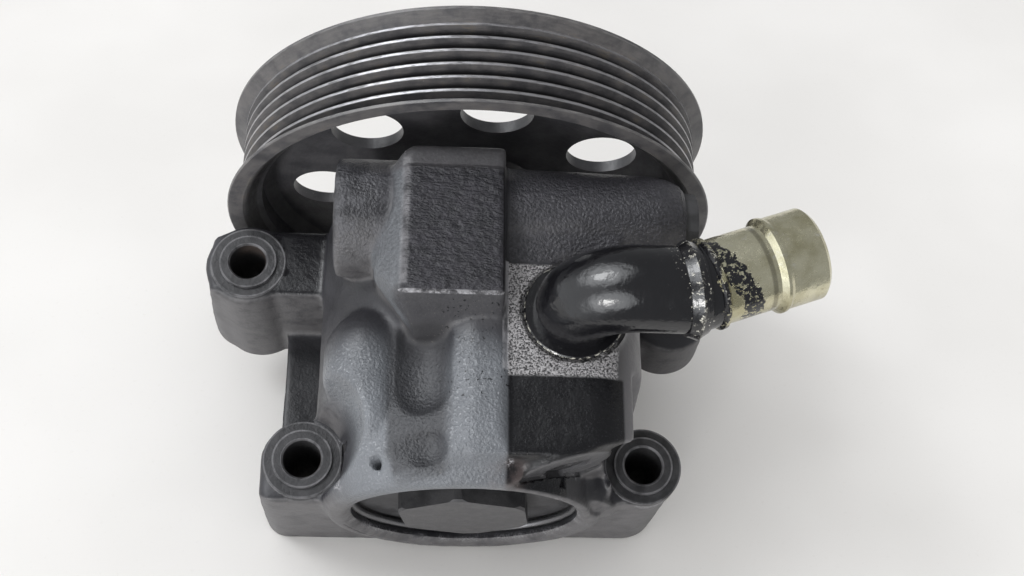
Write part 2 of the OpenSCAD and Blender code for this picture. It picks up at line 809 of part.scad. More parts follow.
module end_cover() {
  color([0.2, 0.2, 0.22])
    union() {
      y_turn()
        difference() {
          polygon([[0, cover_back], [cover_bore_r - 1.2, cover_back],
            [cover_bore_r - clear, cover_back + 1.2],
            [cover_bore_r - clear, cover_front], [0, cover_front]]);
          translate([cover_bore_r - oring_w - 0.1, cover_front - oring_in - oring_w / 2 - 0.2])
            square([oring_w + 2, oring_w + 0.4]);
        }
      intersection() {
        translate([0, cover_back + 1, shaft_h])
          rotate([90, 0, 0])
            rotate([0, 0, cover_turn])
              cylinder(d = cover_hex, h = cover_boss_h + 1, $fn = 6);
        y_turn()
          polygon([[0, cover_back + 2], [cover_hex / 2, cover_back + 2], [cover_hex / 2 - 0.3, cover_back],
            [cover_hex / 2 - 0.6, cover_back - cover_boss_h + 0.6],
            [cover_hex / 2 - 1.2, cover_back - cover_boss_h], [0, cover_back - cover_boss_h]]);
      }
    }
}

module cover_oring() {
  color([0.08, 0.08, 0.08])
    y_wire(cover_bore_r - oring_w / 2 - 0.05, oring_w, cover_front - oring_in);
}

module retaining_ring() {
  color([0.35, 0.35, 0.37])
    difference() {
      y_wire(cover_bore_r + 1.1 - ring_w / 2, ring_w, ring_y0 + ring_w / 2);
      translate([12, -rear_y - 2, shaft_h + 12])
        rotate([0, 45, 0])
          translate([-2, 0, 0])
            cube([4, 12, 30]);
    }
}

// Frame at the stop bead, its Z along the tube after a turn of a
module at_bead(a) {
  translate(bead_p)
    rotate([0, 0, a])
      rotate([0, 90, 0])
        children();
}

// Cross section of the tube
module tube_ring() {
  difference() {
    circle(r = tube_r, $fn = fine);
    circle(r = tube_r - tube_t, $fn = fine);
  }
}

module suction_tube() {
  ri = tube_r - tube_t;
  swell = tube_l2 - swell_l;
  swell_r = swell_d / 2;
  zc = pad_z - 0.4 + clear;
  color([0.6, 0.58, 0.42])
    union() {
      // leg in the housing, with the collar that seats on the pad
      translate([tube_x, tube_y, 0])
        rotate_extrude($fn = fine)
          polygon([[ri, pad_z - tube_in + 0.6], [tube_r, pad_z - tube_in + 0.6], [tube_r, zc],
            [tube_r + 1.7, zc],
            [tube_r + 2, zc + 0.3], [tube_r + 2, zc + 0.8], [tube_r + 1.7, zc + 1.1], [tube_r, zc + 1.1],
            [tube_r, tube_z0], [ri, tube_z0]]);
      translate([tube_x + elbow_r, tube_y, tube_z0])
        rotate([90, 0, 0])
          rotate([0, 0, 90])
            rotate_extrude(angle = 90, $fn = fine)
              translate([elbow_r, 0])
                tube_ring();
      translate([tube_x + elbow_r, tube_y, tube_z0 + elbow_r])
        rotate([0, 90, 0])
          linear_extrude(height = tube_l1)
            tube_ring();
      // rolled stop bead, where the tube turns
      at_bead(tube_turn / 2)
        rotate_extrude($fn = fine)
          polygon([[ri - 0.3, -bead_w / 2], [tube_r + 0.4, -bead_w / 2], [bead_d / 2 - 0.6, -bead_w / 4],
            [bead_d / 2, 0], [bead_d / 2 - 0.6, bead_w / 4], [tube_r + 0.4, bead_w / 2],
            [ri - 0.3, bead_w / 2]]);
      // last straight length with a second ridge and the swollen hose end
      at_bead(tube_turn)
        rotate_extrude($fn = fine)
          polygon([[ri, 0], [tube_r, 0], [tube_r, ridge_at - 1], [tube_r + 0.8, ridge_at - 0.4],
            [tube_r + 0.8, ridge_at + 0.4], [tube_r, ridge_at + 1], [tube_r, swell - 1.4],
            [swell_r + 0.4, swell - 0.3], [swell_r + 0.4, swell + 0.4], [swell_r, swell + 1.2],
            [swell_r, tube_l2 - 0.9], [swell_r - 0.9, tube_l2], [swell_r - tube_t, tube_l2],
            [swell_r - tube_t, swell], [ri, swell - 1.4]]);
    }
}

module tube_oring() {
  color([0.08, 0.08, 0.08])
    translate([tube_x, tube_y, pad_z - 3.5])
      rotate_extrude($fn = fine)
        translate([tube_r + 0.76, 0])
          circle(r = 0.7, $fn = 24);
}

module flow_spool() {
  color([0.74, 0.74, 0.76])
    x_turn()
      polygon([[0, spool_x0], [spool_d / 2 - 1, spool_x0], [spool_d / 2 - run, spool_x0 + 0.8],
        [spool_d / 2 - run, spool_x0 + 5], [spool_d / 2 - 1.6, spool_x0 + 5.4],
        [spool_d / 2 - 1.6, spool_x0 + 9], [spool_d / 2 - run, spool_x0 + 9.4],
        [spool_d / 2 - run, spool_x1], [spool_d / 2 - 1.6, spool_x1], [spool_d / 2 - 1.6, spring_x0],
        [0, spring_x0]]);
}

module flow_spring() {
  turns = 6;
  len = plug_x0 - spring_x0 - 2 * gap;
  coil_r = spool_d / 2 - 3.2 - spring_w / 2;
  // half the angle that the wire's height takes along the coil
  lean = 180 * spring_w * turns / len;
  wire = [for (i = [0 : 11]) let (t = i * 30, r = coil_r + spring_w / 2 * cos(t))
    [r * cos(lean * sin(t)), r * sin(lean * sin(t))]];
  color([0.6, 0.6, 0.62])
    translate([spring_x0 + gap, valve_y, valve_z])
      rotate([0, 90, 0])
        linear_extrude(height = len, twist = -360 * turns, slices = turns * 18)
          polygon(wire);
}

module orifice_fitting() {
  color([0.7, 0.68, 0.6])
    x_turn()
      polygon([[2, port_bottom], [4, port_bottom], [4, port_bottom + 2], [fit_r - 2, port_bottom + 2],
        [fit_r - clear, port_bottom + 2.8], [fit_r - clear, port_bottom + fit_l - clear],
        [3, port_bottom + fit_l - clear], [2, port_bottom + 5]]);
}

module valve_plug() {
  color([0.18, 0.18, 0.2])
    difference() {
      union() {
        x_cyl(plug_r - clear, plug_x0 + clear, valve_end);
        translate([valve_end - eps, valve_y, valve_z])
          rotate([0, 90, 0])
            cylinder(r = plug_r - 0.6, h = 3, $fn = 12);
        // stem that stops the spool at the end of its travel
        x_cyl(stem_r, spring_x0 + spool_travel + gap, plug_x0 + 1, n = 32);
      }
      x_turn()
        translate([plug_r - 1.6, plug_x0 + 3])
          square([3, 2.2]);
      translate([valve_end - 1, valve_y, valve_z])
        rotate([0, 90, 0])
          cylinder(r = plug_r - 3.4, h = 6, $fn = 6);
    }
}

module plug_oring() {
  color([0.08, 0.08, 0.08])
    x_turn()
      translate([plug_r - 0.82, plug_x0 + 4.1])
        circle(r = 0.75, $fn = 24);
}

module core_plug() {
  color([0.3, 0.3, 0.32])
    at_core()
      difference() {
        translate([0, 0, -3.6])
          cylinder(r = core_r - clear, h = 2.8, $fn = fine);
        translate([0, 0, -2.6])
          cylinder(r1 = core_r - 2, r2 = core_r - 1, h = 6, $fn = fine);
      }
}

housing();
front_bushing();
shaft_seal();
drive_shaft();
pulley_rim();
pulley_web();
pulley_hub();
rotor();
vanes();
rotor_ring();
thrust_plate();
cam_ring();
pressure_plate();
dowel_pins();
plate_spring();
end_cover();
cover_oring();
retaining_ring();
suction_tube();
tube_oring();
flow_spool();
flow_spring();
orifice_fitting();
valve_plug();
plug_oring();
core_plug();
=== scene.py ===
"""Looks of the power steering pump: a worn black casting, a dusty belt pulley and a zinc plated suction tube."""

import math
from types import SimpleNamespace

import bmesh
import bpy
import numpy as np
from mathutils import Matrix, Vector, noise


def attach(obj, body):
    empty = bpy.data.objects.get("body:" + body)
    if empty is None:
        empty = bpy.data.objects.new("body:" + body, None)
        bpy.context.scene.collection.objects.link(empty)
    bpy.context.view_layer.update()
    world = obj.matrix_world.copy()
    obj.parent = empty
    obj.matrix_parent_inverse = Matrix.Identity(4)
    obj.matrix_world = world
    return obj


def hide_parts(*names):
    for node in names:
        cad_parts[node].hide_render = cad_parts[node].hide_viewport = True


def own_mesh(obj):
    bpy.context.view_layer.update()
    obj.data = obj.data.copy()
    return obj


MM = 0.001
FLOOR_TILT = math.radians(20.3)
FLOOR_TOUCH = Vector((0.0, -10.3 * MM, 0.0))

# camera, in metres and in pixels of a picture 1024 wide
CAM_POS = Vector((-9.8, -86.4, 349.8)) * MM
CAM_FORWARD = Vector((0.0623, 0.3933, -0.9173))
CAM_UP = Vector((-0.0288, 0.9194, 0.3923))
PICTURE_W = 1024
FOCAL_PX = 1308.5
SENSOR_MM = 36.0

# strength of the room light, on the right and towards the pale wall on the left, places and aim of the lamps in metres
SKY_DIM = 0.75
SKY_BRIGHT = 1.3
WALL_SIDE = (-0.95, -0.3, 0.05)
WINDOW_AT = (-1.35, 0.75, 1.75)
DOOR_AT = (-0.9, -1.6, 1.0)
LAMP_AIM = (0, 0.03, 0.03)

# sizes and places of the part in millimetres, as its source gives them or worked out from it
SHAFT_H = 35.0
BOSS_H = 40.0
SPOT_R = 7.25
PAD_Z = 74.0
VALVE_Y = 52.3
VALVE_Z = 66.0
REAR_Y = -13.0
PORT_X = -32.7
VALVE_END = 50.5
TUBE_AT = (23.4, 26.5)
BOSSES = ((-56.7, 51.8), (-39.6, 0.0), (43.7, 0.0))
CORE_AT = Vector((22.0, -7.1, 62.0))
CORE_TURN = math.radians(16)
CORE_TILT = math.radians(94)
BEAD_AT = Vector((47.2, 26.5, 88.2))
TUBE_TURN = math.radians(19.8)
GROOVE_Y = 67.72
GROOVE_PITCH = 3.56
RIB_R = 60.2
FLANGE_R = 63.3

# housing skin: lengths in millimetres, scale of the waves per metre, angle in degrees
VOXEL = 0.75
FOOT_GROWTH = 3.0
SMOOTH_PASSES = 10
KEPT_FACES = 0.45
WAVES = ((90, 0.16), (330, 0.07))
SHARP_ANGLE = 38
DISC_R = 9.5

# filling of the pocket below the core plug: outline of X and Z, and ends along Y, in millimetres
SHELF = ((18, 30), (37, 30), (36.5, 38.5), (33, 43.5), (28, 47.5), (23, 49.5), (18, 51))
SHELF_REAR = -10.6
SHELF_FRONT = -2.0

# rods over the bores, in millimetres: radii, places of ends along Y, depths, and how far beyond the bore's mouth a rod
# that cuts goes and how far below it a rod that fills stops
BOLT_CUT_R = 5.9
RECESS_CUT_R = 30.4
RECESS_END = 21
SHAFT_CUT_R = 15
SHAFT_END = 70
VALVE_CUT_R = 10.3
TUBE_CUT_R = 12.6
TUBE_DEPTH = 13
CORE_CUT_R = 5.4
CORE_DEPTH = 5
CORE_FACE_R = 11.4
CUT_OVER = 3
FILL_SHORT = 0.15

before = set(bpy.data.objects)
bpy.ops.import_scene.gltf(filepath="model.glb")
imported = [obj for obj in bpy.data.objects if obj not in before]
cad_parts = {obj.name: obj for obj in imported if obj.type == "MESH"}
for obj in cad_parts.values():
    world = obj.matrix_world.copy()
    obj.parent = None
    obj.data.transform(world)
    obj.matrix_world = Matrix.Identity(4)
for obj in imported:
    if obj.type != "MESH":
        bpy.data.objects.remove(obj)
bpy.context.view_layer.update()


# Mesh helpers

def new_object(name, mesh):
    """A new object of the scene with this mesh."""
    obj = bpy.data.objects.new(name, mesh)
    bpy.context.scene.collection.objects.link(obj)
    return obj


def rod(bm, radius, start, end, segments=96):
    """Adds a closed cylinder between two points in millimetres to bm."""
    a, b = Vector(start) * MM, Vector(end) * MM
    turn = (b - a).to_track_quat("Z", "Y").to_matrix().to_4x4()
    place = Matrix.Translation((a + b) / 2) @ turn
    bmesh.ops.create_cone(bm, cap_ends=True, segments=segments, radius1=radius * MM, radius2=radius * MM,
                          depth=(b - a).length, matrix=place)


def prism(bm, outline, rear, front):
    """Adds a closed prism along Y over an outline of X and Z in millimetres to bm."""
    ends = [[bm.verts.new(Vector((x, y, z)) * MM) for x, z in outline] for y in (rear, front)]
    bm.faces.new(ends[0])
    bm.faces.new(ends[1][::-1])
    for i in range(len(outline)):
        j = (i + 1) % len(outline)
        bm.faces.new((ends[0][j], ends[0][i], ends[1][i], ends[1][j]))


def bake(obj):
    """Applies the object's modifiers to a new mesh of its own."""
    shown = obj.evaluated_get(bpy.context.evaluated_depsgraph_get())
    mesh = bpy.data.meshes.new_from_object(shown)
    obj.modifiers.clear()
    obj.data = mesh
    return obj


def boolean(obj, other, operation):
    """Joins other to obj, or cuts it out of obj, and removes other."""
    cut = obj.modifiers.new(operation.lower(), "BOOLEAN")
    cut.operation = operation
    cut.solver = "MANIFOLD"
    cut.object = other
    bake(obj)
    bpy.data.objects.remove(other)
    return obj


# Housing skin: the casting with the rounded edges and fillets of a sand mould, and crisp machined bores

def core_axis():
    """Direction out of the core plug's hole."""
    turn = Matrix.Rotation(CORE_TURN, 3, "Z") @ Matrix.Rotation(CORE_TILT, 3, "X")
    return turn @ Vector((0, 0, 1))


def bore_rods(over):
    """Radius, start and end of a rod over each bore, longer than the bore by over at its mouths."""
    rods = [(BOLT_CUT_R, (x, y, -over), (x, y, BOSS_H + over)) for x, y in BOSSES]
    rods.append((RECESS_CUT_R, (0, REAR_Y - over, SHAFT_H), (0, RECESS_END, SHAFT_H)))
    rods.append((SHAFT_CUT_R, (0, RECESS_END - 1, SHAFT_H), (0, SHAFT_END + over, SHAFT_H)))
    rods.append((VALVE_CUT_R, (PORT_X - over, VALVE_Y, VALVE_Z), (VALVE_END + over, VALVE_Y, VALVE_Z)))
    rods.append((TUBE_CUT_R, (*TUBE_AT, PAD_Z - TUBE_DEPTH), (*TUBE_AT, PAD_Z + over)))
    axis = core_axis()
    rods.append((CORE_CUT_R, CORE_AT - CORE_DEPTH * axis, CORE_AT + (over + 0.2) * axis))
    if over > 0:
        rods.append((CORE_FACE_R, CORE_AT + 0.05 * axis, CORE_AT + 1.1 * axis))
    return rods


def welded(name):
    """A CAD node's faces with their shared points joined, and a copy of its mesh to put them in."""
    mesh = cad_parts[name].data.copy()
    bm = bmesh.new()
    bm.from_mesh(mesh)
    bmesh.ops.remove_doubles(bm, verts=bm.verts, dist=2e-6)
    return bm, mesh


def housing_skin():
    """The housing remeshed with its bores filled, smoothed, and its bores and boss tops cut again."""
    bm, mesh = welded("housing")
    foot = [f for f in bm.faces if all(abs(v.co.z) < 1e-5 for v in f.verts)]
    grown = bmesh.ops.extrude_face_region(bm, geom=foot)["geom"]
    for v in grown:
        if isinstance(v, bmesh.types.BMVert):
            v.co.z -= FOOT_GROWTH * MM
    for rod_spec in bore_rods(-FILL_SHORT):
        rod(bm, *rod_spec)
    prism(bm, SHELF, SHELF_REAR, SHELF_FRONT)
    bm.to_mesh(mesh)
    bm.free()
    skin = new_object("housing_casting", mesh)
    mesh.materials.clear()
    remesh = skin.modifiers.new("remesh", "REMESH")
    remesh.mode = "VOXEL"
    remesh.voxel_size = VOXEL * MM
    smooth = skin.modifiers.new("smooth", "SMOOTH")
    smooth.factor = 0.5
    smooth.iterations = SMOOTH_PASSES
    bake(skin)
    wave_surface(skin.data)
    thin = skin.modifiers.new("thin", "DECIMATE")
    thin.ratio = KEPT_FACES
    bake(skin)

    # the rounded boss tops are cut off, then a disc and the machined ring are put in their place
    boss_rods(skin, DISC_R + 0.8, BOSS_H - 1.0, BOSS_H + 4, "DIFFERENCE")
    boss_rods(skin, DISC_R, BOSS_H - 5, BOSS_H - 0.85, "UNION")
    boss_rods(skin, SPOT_R, BOSS_H - 4, BOSS_H, "UNION")
    boolean(skin, bore_cutter(), "DIFFERENCE")
    # the grown feet end at the mounting face
    below = bmesh.new()
    bmesh.ops.create_cube(below, size=0.4, matrix=Matrix.Translation((0, 0, -0.2)))
    boolean(skin, solid("below", below), "DIFFERENCE")
    return skin


def boss_rods(skin, radius, low, high, operation):
    """Joins a rod to each boss of the skin, or cuts it away."""
    rods = bmesh.new()
    for x, y in BOSSES:
        rod(rods, radius, (x, y, low), (x, y, high))
    boolean(skin, solid("boss_rods", rods), operation)


def solid(name, bm):
    """A new object from bm, which is freed."""
    mesh = bpy.data.meshes.new(name)
    bm.to_mesh(mesh)
    bm.free()
    return new_object(name, mesh)


def bore_cutter():
    """The hollow of every bore: the rods less the exact housing."""
    cutter = None
    for rod_spec in bore_rods(CUT_OVER):
        bm = bmesh.new()
        rod(bm, *rod_spec)
        piece = solid("bore", bm)
        cutter = piece if cutter is None else boolean(cutter, piece, "UNION")
    bm, mesh = welded("housing")
    bm.to_mesh(mesh)
    bm.free()
    return boolean(cutter, new_object("exact", mesh), "DIFFERENCE")


def wave_surface(mesh):
    """Moves the casting's skin by the slow waves of a sand mould."""
    places = rows(mesh.vertices, "co")
    shift = np.array([sum(noise.noise(Vector(p) * scale) * height for scale, height in WAVES) for p in places])
    moved = places + rows(mesh.vertices, "normal") * shift[:, None] * MM
    mesh.vertices.foreach_set("co", moved.ravel())
    mesh.update()


def rows(items, key):
    """A property of three numbers of each item, as rows of an array."""
    values = np.empty(len(items) * 3)
    items.foreach_get(key, values)
    return values.reshape(-1, 3)


# Node helpers

class Look:
    """A material and short ways to wire its nodes."""

    def __init__(self, name):
        self.material = bpy.data.materials.new(name)
        self.material.use_nodes = True
        self.tree = self.material.node_tree
        self.shader = self.tree.nodes["Principled BSDF"]
        self.place = self.node("ShaderNodeTexCoord").outputs["Object"]

    def node(self, kind, **values):
        made = self.tree.nodes.new(kind)
        for key, value in values.items():
            setattr(made, key, value)
        return made

    def wire(self, value, socket):
        if isinstance(value, bpy.types.NodeSocket):
            self.tree.links.new(value, socket)
        elif socket.type == "RGBA" and len(value) == 3:
            socket.default_value = (*value, 1)
        else:
            socket.default_value = value

    def set(self, **values):
        for key, value in values.items():
            self.wire(value, self.shader.inputs[key.replace("_", " ")])

    def math(self, operation, a, b=0.0, c=0.0):
        made = self.node("ShaderNodeMath", operation=operation)
        for socket, value in zip(made.inputs, (a, b, c)):
            self.wire(value, socket)
        return made.outputs[0]

    def vector(self, operation, a, b=(0, 0, 0)):
        made = self.node("ShaderNodeVectorMath", operation=operation)
        self.wire(a, made.inputs[0])
        self.wire(b, made.inputs[1])
        return made.outputs["Value"] if operation in ("LENGTH", "DOT_PRODUCT", "DISTANCE") else made.outputs[0]

    def noise(self, scale, detail=4.0, rough=0.55, at=None, stretch=None):
        made = self.node("ShaderNodeTexNoise")
        where = self.place if at is None else at
        if stretch:
            where = self.vector("MULTIPLY", where, stretch)
        self.wire(where, made.inputs["Vector"])
        made.inputs["Scale"].default_value = scale
        made.inputs["Detail"].default_value = detail
        made.inputs["Roughness"].default_value = rough
        return made.outputs["Fac"]

    def span(self, value, low, high, to_low=0.0, to_high=1.0):
        made = self.node("ShaderNodeMapRange", interpolation_type="SMOOTHSTEP")
        made.clamp = True
        for socket, item in zip(made.inputs, (value, low, high, to_low, to_high)):
            self.wire(item, socket)
        return made.outputs[0]

    def mix(self, share, a, b):
        made = self.node("ShaderNodeMix", data_type="RGBA")
        self.wire(share, made.inputs[0])
        self.wire(a, made.inputs[6])
        self.wire(b, made.inputs[7])
        return made.outputs[2]

    def parts(self, at=None):
        made = self.node("ShaderNodeSeparateXYZ")
        self.wire(self.place if at is None else at, made.inputs[0])
        return made.outputs

    def near(self, point, reach, soft):
        """1 within reach of a point in millimetres, falling to 0 over soft."""
        away = self.vector("DISTANCE", self.place, tuple(Vector(point) * MM))
        return self.span(away, (reach + soft) * MM, reach * MM)

    def band(self, value, low, high, soft):
        """1 between low and high millimetres, falling to 0 over soft outside them."""
        rise = self.span(value, (low - soft) * MM, low * MM)
        fall = self.span(value, (high + soft) * MM, high * MM)
        return self.math("MULTIPLY", rise, fall)

    def room(self, x, y, z, soft):
        """1 in a box of limits in millimetres; an axis without limits is None."""
        share = 1.0
        for value, limits in zip(self.parts(), (x, y, z)):
            if limits:
                share = self.math("MULTIPLY", share, self.band(value, *limits, soft))
        return share

    def facing(self, axis, low, high):
        normal = self.node("ShaderNodeTexCoord").outputs["Normal"]
        return self.span(self.vector("DOT_PRODUCT", normal, axis), low, high)

    def both(self, *shares):
        share = shares[0]
        for other in shares[1:]:
            share = self.math("MULTIPLY", share, other)
        return share

    def either(self, *shares):
        share = shares[0]
        for other in shares[1:]:
            share = self.math("MAXIMUM", share, other)
        return share

    def off_axis(self, point, axis):
        """Distance from a line through a point, in metres."""
        offset = self.vector("SUBTRACT", self.place, tuple(Vector(point) * MM))
        return self.vector("LENGTH", self.vector("CROSS_PRODUCT", offset, tuple(Vector(axis).normalized())))

    def pointed(self, low, high):
        return self.span(self.node("ShaderNodeNewGeometry").outputs["Pointiness"], low, high)

    def bump(self, *layers):
        """Bump from pairs of height and distance in millimetres, one on the other."""
        normal = None
        for height, depth in layers:
            made = self.node("ShaderNodeBump")
            made.inputs["Strength"].default_value = 1.0
            made.inputs["Distance"].default_value = depth * MM
            self.wire(height, made.inputs["Height"])
            if normal is not None:
                self.wire(normal, made.inputs["Normal"])
            normal = made.outputs[0]
        self.set(Normal=normal)


# Materials

def casting_regions(look, stain):
    """Shares of the casting's regions, from limits in millimetres and the direction a face points in."""
    up = look.facing((0, 0, 1), 0.55, 0.85)
    left = look.facing((-1, 0, 0), 0.35, 0.8)
    x, y, z = look.parts()
    crown = look.both(look.span(x, 9.2 * MM, 7.2 * MM), look.span(z, 43 * MM, 62 * MM), look.span(z, 80 * MM, 77 * MM),
                      look.span(look.math("MULTIPLY_ADD", stain, 14 * MM, y), 32 * MM, 18 * MM))
    # the crown's hollows, which are darkened below as painted shade
    hollow = look.either(look.span(look.off_axis((-12.5, 0, 74.0), (0, 1, 0)), 10.6 * MM, 8.2 * MM),
                         look.span(look.off_axis((0, -6, 72.5), (1, 0, 0)), 6.6 * MM, 5.2 * MM))
    return SimpleNamespace(
        rear=look.facing((0, -1, 0), 0.3, 0.75),
        pad=look.both(look.room((8.3, 60), (10.8, 37.6), (72.5, 76), 0.5), up),
        oily=look.room((8.6, 34), (-12, 10.4), (56, 76), 0.8),
        slope=look.room((37, 60), (-4, 28), (54, 74), 8.0),
        block=look.both(look.room((-15.6, 8.6), (27.6, 57.5), (81, 90), 1.2), up),
        crown=crown,
        behind=look.room((-17, 8.6), (23, 27.4), (75, 84), 2.5),
        chamfer=look.both(look.room((-25, -14), (22, 64), (70, 84), 1.0), left),
        port=look.room((-44, -24), (42, 66), (60, 90), 6.0),
        # the deep strip between the front left lug and the rear left boss, blackened below as painted shade
        strip=look.room((-47, -31.5), (6, 37), (-9, 35), 3.0),
        nose=look.room((-24, 8.6), (58.5, 66), (76, 90), 1.5),
        valve=look.room((8.6, 60), (39, 68), (62, 84), 1.0),
        hollow=look.both(hollow, look.room((-18, -7), (-9, 22), (58, 74), 4.0)),
        lug=look.both(look.room((-50, -30), (38, 64), (30, 45), 3.0), up),
        ridge=look.room((-6, 7.4), (6, 27), (66, 80), 3.0),
    )


def casting_look():
    look = Look("cast_black_paint")
    fine = look.noise(2300, 3, 0.6)
    grain = look.noise(1300, 4, 0.6)
    leather = look.noise(1450, 2.5, 0.5)
    wrinkle = look.noise(620, 3, 0.6, stretch=(0.7, 1.4, 1.0))
    blotch = look.noise(240, 5, 0.6)
    stain = look.noise(60, 4, 0.5)
    at = casting_regions(look, stain)
    ring, bore, lips = boss_marks(look)
    seat, shaded_seat_rim = core_marks(look)
    cast = look.math("SUBTRACT", 1.0, look.either(ring, bore))
    shiny, bare_and_highlight = bare_and_highlight_marks(look, fine, grain, blotch, lips, cast)
    # painted highlight: light flecks on the crown only where its faces turn towards the window lamp
    painted_glint = look.both(at.crown, look.facing((-0.5, 0, 0.85), 0.72, 0.98), look.span(leather, 0.55, 0.70, 0.0, 0.45))
    crumbs = look.mix(look.span(fine, 0.36, 0.62), (0.010, 0.010, 0.011), (0.42, 0.415, 0.43))
    block_black = look.mix(look.span(blotch, 0.3, 0.7), (0.015, 0.015, 0.018), (0.028, 0.027, 0.033))
    oil_black = look.mix(look.span(fine, 0.55, 0.7), (0.003, 0.003, 0.004), (0.014, 0.014, 0.017))
    pits = look.both(at.ridge, look.span(look.noise(1150, 2, 0.5), 0.36, 0.31))
    dust = look.both(look.pointed(0.48, 0.43), cast, look.span(blotch, 0.45, 0.65, 0, 0.3))
    rust = look.both(look.near((8.5, -9.5, 66.0), 1.0, 7.0), look.span(blotch, 0.3, 0.7), 0.5)
    specks = look.span(look.both(at.rear, look.span(fine, 0.64, 0.72)), 0.0, 1.0, 0.0, 0.5)
    ring_grey = look.mix(look.span(blotch, 0.35, 0.65), (0.018, 0.018, 0.020), (0.036, 0.036, 0.039))
    bore_grey = look.mix(look.span(stain, 0.5, 0.7), (0.014, 0.014, 0.015), (0.034, 0.025, 0.021))

    # coats of colour, each over the ones before it
    coats = (
        # dust and painted light: faces turned to the rear are lighter, as dust and as the light that falls on them
        # from the rear
        (look.both(at.rear, look.span(blotch, 0.3, 0.6, 0.45, 1.0)), (0.105, 0.103, 0.107)),
        (look.both(at.crown, look.span(stain, 0.25, 0.7, 0.7, 1.0)), (0.15, 0.162, 0.18)),
        (look.both(at.chamfer, look.span(grain, 0.3, 0.7, 0.55, 1.0)), (0.125, 0.134, 0.147)),
        (look.both(at.port, look.span(blotch, 0.4, 0.65, 0.1, 0.8)), (0.080, 0.081, 0.090)),
        # painted highlight on the crown's faces turned to the window
        (painted_glint, (0.42, 0.44, 0.47)),
        # painted shade: the hollows of the crown darkened where shade falls
        (look.both(at.hollow, 0.85), (0.024, 0.024, 0.027)),
        (at.lug, (0.012, 0.012, 0.014)),
        (look.both(at.slope, 0.9), (0.13, 0.128, 0.135)),
        (look.both(at.valve, look.span(grain, 0.4, 0.7, 0.1, 0.8)), (0.058, 0.057, 0.066)),
        (look.both(at.behind, look.span(grain, 0.3, 0.7, 0.75, 1.0)), (0.046, 0.046, 0.051)),
        (at.pad, crumbs),
        (at.block, block_black),
        (look.both(at.oily, 0.95), oil_black),
        # painted shade: the deep strip beside the foot plate blackened where the body shades it
        (at.strip, (0.006, 0.006, 0.008)),
        (look.both(at.nose, look.span(grain, 0.3, 0.7, 0.6, 1.0)), (0.070, 0.069, 0.074)),
        (pits, (0.004, 0.004, 0.005)),
        (dust, (0.12, 0.115, 0.11)),
        (rust, (0.125, 0.095, 0.092)),
        (specks, (0.20, 0.185, 0.17)),
        (ring, ring_grey),
        (bore, bore_grey),
        (look.both(seat, look.span(blotch, 0.3, 0.7, 0.7, 1.0)), (0.070, 0.070, 0.075)),
        # painted shade: the wall of the core plug's counterbore darkened
        (look.both(shaded_seat_rim, look.span(blotch, 0.35, 0.6, 0.3, 0.9)), (0.008, 0.008, 0.009)),
        # bare metal where the paint is worn, and the painted highlight along the block's rear edge
        (bare_and_highlight, (0.52, 0.52, 0.55)),
    )
    paint = look.mix(look.span(stain, 0.3, 0.7), (0.017, 0.017, 0.020), (0.030, 0.030, 0.035))
    for share, colour in coats:
        paint = look.mix(share, paint, colour)
    look.set(Base_Color=paint)
    look.set(Metallic=look.both(shiny, 0.5))
    look.set(Specular_IOR_Level=0.36)

    gloss = look.span(blotch, 0.3, 0.7, 0.37, 0.47)
    for share, change in ((look.either(at.block, at.pad), 0.10), (at.crown, -0.13), (at.rear, 0.10), (at.hollow, 0.16),
                          (look.either(at.lug, at.oily), -0.15), (shiny, -0.10)):
        gloss = look.math("MULTIPLY_ADD", share, change, gloss)
    look.set(Roughness=gloss)
    leathery = look.either(at.crown, at.port, at.chamfer, at.valve)
    look.bump((look.noise(420, 3, 0.5), 0.12), (look.both(leather, leathery), 0.42),
              (look.both(wrinkle, at.block), 0.95), (look.both(fine, at.pad), 0.42), (grain, 0.09))
    return look.material


def core_marks(look):
    """Shares of the core plug's machined seat and of its rim, darkened as painted shade of the counterbore's wall."""
    offset = look.vector("SUBTRACT", look.place, tuple(CORE_AT * MM))
    height = look.vector("DOT_PRODUCT", offset, tuple(core_axis()))
    away = look.off_axis(CORE_AT, core_axis())
    seat = look.both(look.span(away, 11.5 * MM, 11.3 * MM), look.band(height, -0.6, 0.7, 0.3))
    return seat, look.both(look.band(away, 11.2, 11.7, 0.25), look.band(height, -0.8, 1.2, 0.4))


def bare_and_highlight_marks(look, fine, grain, blotch, lips, cast):
    """Shares of the metal that shines where the paint is gone, with a painted highlight along the block's rear top
    edge, and of all worn and light edges.
    """
    # worn paint and painted highlight: the bright line along the block's rear top edge
    worn_highlight = look.both(look.room((-17, 7.0), (26.8, 27.2), (82.0, 84), 0.3),
                      look.span(look.noise(300, 5, 0.75), 0.42, 0.62, 0.03, 0.85))
    chips = look.both(look.either(look.near((8.5, -8.0, 70.0), 0.3, 1.3), look.near((-28.5, -8.5, 51.5), 1.0, 2.4)),
                      look.span(grain, 0.46, 0.56))
    flash = look.both(look.room((6.9, 8.0), (12, 38), (73.0, 78), 0.35), look.span(blotch, 0.3, 0.55))
    corner = look.both(look.room((-16.4, -15.4), (29, 60), (82.2, 84), 0.8), look.span(blotch, 0.3, 0.7, 0.1, 0.5))
    edge = look.both(look.pointed(0.53, 0.60), look.span(fine, 0.42, 0.62), look.span(blotch, 0.4, 0.6), cast)
    light_lips = look.both(lips, look.span(blotch, 0.35, 0.6, 0.06, 0.2))
    shiny = look.either(worn_highlight, chips)
    return shiny, look.either(shiny, light_lips, look.both(corner, 0.5), look.both(flash, 0.35), look.both(edge, 0.42))


